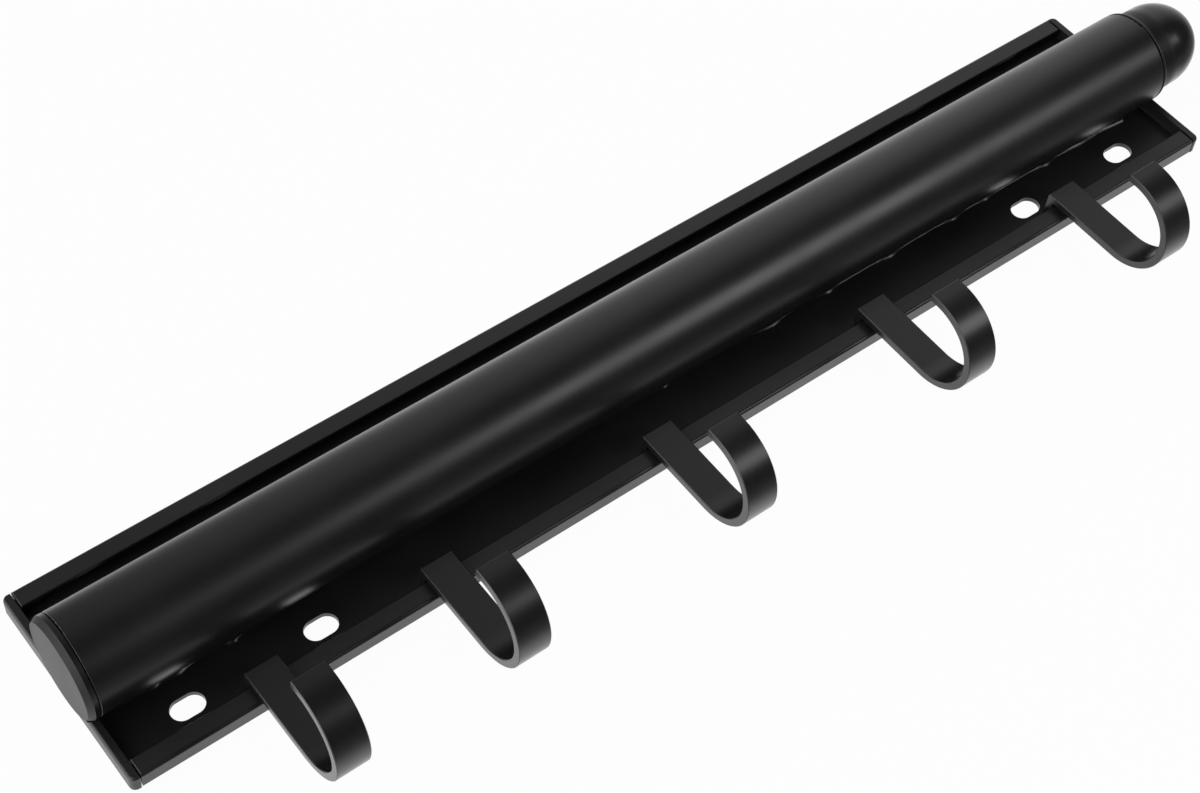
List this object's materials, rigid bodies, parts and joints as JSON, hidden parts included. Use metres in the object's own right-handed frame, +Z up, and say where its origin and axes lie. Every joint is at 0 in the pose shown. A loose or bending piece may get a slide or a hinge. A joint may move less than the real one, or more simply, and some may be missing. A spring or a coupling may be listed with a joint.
{
  "type": "telescopic clothes rod",
  "caption": "Wall rail with a lipped back channel, a bonded tube holding a domed pull-out rod, and J-shaped hooks that slide along its lower lip.",
  "frame": {"origin": "centre of the wall-screw slots, on the back of the channel", "axes": "+X along the rod towards the domed pull end, +Y into the wall, +Z up, hooks hanging down"},
  "size_m": [0.4284, 0.0416, 0.107],
  "materials": {
    "coated_channel": "satin black powder coat on a lipped aluminium channel",
    "coated_tube": "satin black powder coat on a drawn aluminium tube",
    "coated_rod": "satin black anodised rod",
    "coated_hook": "satin black powder coat on a bent strip",
    "cap_plastic": "moulded black end cap",
    "plug_plastic": "moulded black plug with a fine matte grain",
    "knob_plastic": "moulded satin black dome",
    "bush_plastic": "moulded black bearing plastic",
    "bond_resin": "glossy black bonding bead",
    "ring_rubber": "black rubber ring"
  },
  "bodies": {
    "rail": {"back_channel": "coated_channel", "left_end_cap": "cap_plastic", "right_end_cap": "cap_plastic", "outer_tube": "coated_tube", "tube_end_plug": "plug_plastic", "bond_bead": "bond_resin", "mouth_bush": "bush_plastic"},
    "rod": {"inner_tube": "coated_rod", "dome_knob": "knob_plastic", "rear_slider": "bush_plastic", "friction_ring": "ring_rubber"},
    "hook_1_body": {"hook_1": "coated_hook"},
    "hook_2_body": {"hook_2": "coated_hook"},
    "hook_3_body": {"hook_3": "coated_hook"},
    "hook_4_body": {"hook_4": "coated_hook"},
    "hook_5_body": {"hook_5": "coated_hook"}
  },
  "joints": [
    {"name": "rod_slide", "type": "slide", "parent": "rail", "child": "rod", "axis": [1, 0, 0], "range_m": [0, 0.327]},
    {"name": "hook_1_slide", "type": "slide", "parent": "rail", "child": "hook_1_body", "axis": [1, 0, 0], "range_m": [-0.0301, 0.0232]},
    {"name": "hook_2_slide", "type": "slide", "parent": "rail", "child": "hook_2_body", "axis": [1, 0, 0], "range_m": [-0.0232, 0.0338]},
    {"name": "hook_3_slide", "type": "slide", "parent": "rail", "child": "hook_3_body", "axis": [1, 0, 0], "range_m": [-0.0338, 0.0365]},
    {"name": "hook_4_slide", "type": "slide", "parent": "rail", "child": "hook_4_body", "axis": [1, 0, 0], "range_m": [-0.0365, 0.0357]},
    {"name": "hook_5_slide", "type": "slide", "parent": "rail", "child": "hook_5_body", "axis": [1, 0, 0], "range_m": [-0.0357, 0.0421]}
  ]
}
